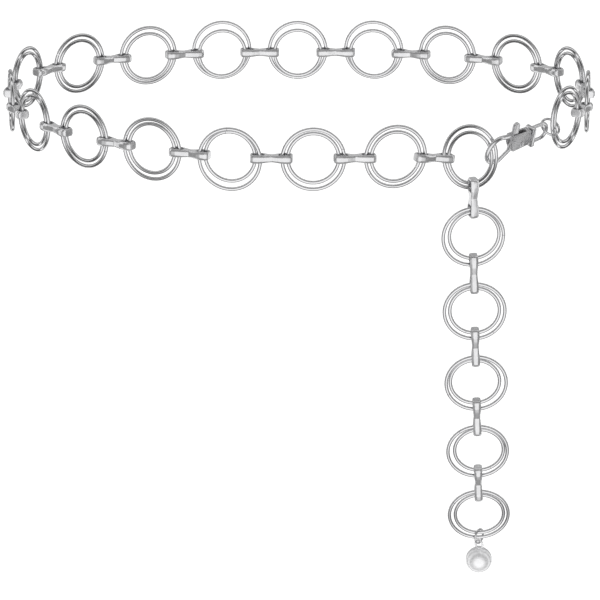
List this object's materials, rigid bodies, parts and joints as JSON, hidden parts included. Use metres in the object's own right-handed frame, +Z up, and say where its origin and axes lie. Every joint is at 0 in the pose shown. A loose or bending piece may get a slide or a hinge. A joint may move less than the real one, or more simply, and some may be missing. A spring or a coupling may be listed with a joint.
{
  "type": "waist chain",
  "caption": "Chain belt of paired round ring links held by dog-bone clips, closed by a swivel trigger hook, with a hanging tail that ends in a ball.",
  "frame": {"origin": "middle of the waist loop, where the wearer's body passes through it", "axes": "+X to the wearer's side that the clasp is on, which is the loop's long way across; +Y to the back of the loop; +Z up, so that the tail hangs down along -Z"},
  "size_m": [0.3015, 0.2147, 0.2558],
  "materials": {
    "rings": "polished",
    "clips": "polished",
    "clasp": "satin",
    "lever": "polished",
    "eye": "polished",
    "ball": "mirror polished"
  },
  "bodies": {
    "chain": {"loop_rings_01": "rings", "loop_rings_02": "rings", "loop_rings_03": "rings", "loop_rings_04": "rings", "loop_rings_05": "rings", "loop_rings_06": "rings", "loop_rings_07": "rings", "loop_rings_08": "rings", "loop_rings_09": "rings", "loop_rings_10": "rings", "loop_rings_11": "rings", "loop_rings_12": "rings", "loop_rings_13": "rings", "loop_rings_14": "rings", "loop_rings_15": "rings", "loop_rings_16": "rings", "loop_rings_17": "rings", "loop_rings_18": "rings", "loop_rings_19": "rings", "tail_rings_1": "rings", "tail_rings_2": "rings", "tail_rings_3": "rings", "tail_rings_4": "rings", "tail_rings_5": "rings", "loop_clips": "clips", "tail_clips": "clips", "swivel_eye": "eye", "clasp_jump_ring": "eye"},
    "clasp": {"clasp_hook": "clasp", "clasp_rivet": "lever"},
    "lever": {"clasp_lever": "lever"},
    "drop": {"drop_jump_ring": "eye", "ball_drop": "ball"}
  },
  "joints": [
    {"name": "clasp_swivel", "type": "hinge", "parent": "chain", "child": "clasp", "pos_m": [0.10208, -0.07329, -0.00403], "axis": [0.7269, 0.6779, 0.1097], "range_deg": [-4, 4]},
    {"name": "lever_pivot", "type": "hinge", "parent": "clasp", "child": "lever", "pos_m": [0.10788, -0.06722, -0.00432], "axis": [-0.6624, 0.6501, 0.3723], "range_deg": [0, 18], "stiffness_Nm_per_rad": 0.006, "springref_deg": -17.19},
    {"name": "drop_swing", "type": "hinge", "parent": "chain", "child": "drop", "pos_m": [0.0921, -0.05206, -0.2164], "axis": [0.9991, 0, 0.0419], "range_deg": [-10, 8]}
  ]
}
